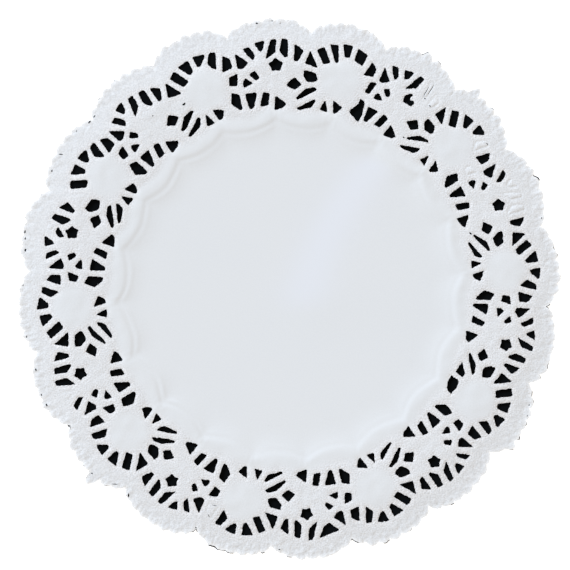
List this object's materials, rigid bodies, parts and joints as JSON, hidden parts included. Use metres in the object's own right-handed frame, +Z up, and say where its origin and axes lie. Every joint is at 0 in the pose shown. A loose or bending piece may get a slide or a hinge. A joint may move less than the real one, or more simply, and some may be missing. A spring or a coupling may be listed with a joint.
{
  "type": "round paper doily",
  "caption": "Round flat paper doily with a plain middle, a die-cut lace border and a scalloped edge of small ragged picots.",
  "frame": {"origin": "on the surface that the doily lies on, under the middle of its box", "axes": "+Z up out of the face that shows in the picture, +Y towards the picture's top edge, +X towards its right"},
  "size_m": [0.254, 0.2538, 0.001],
  "materials": {
    "paper": "matt white paper, pressed with a fine lace relief"
  },
  "bodies": {
    "root": {"doily": "paper"}
  },
  "joints": []
}
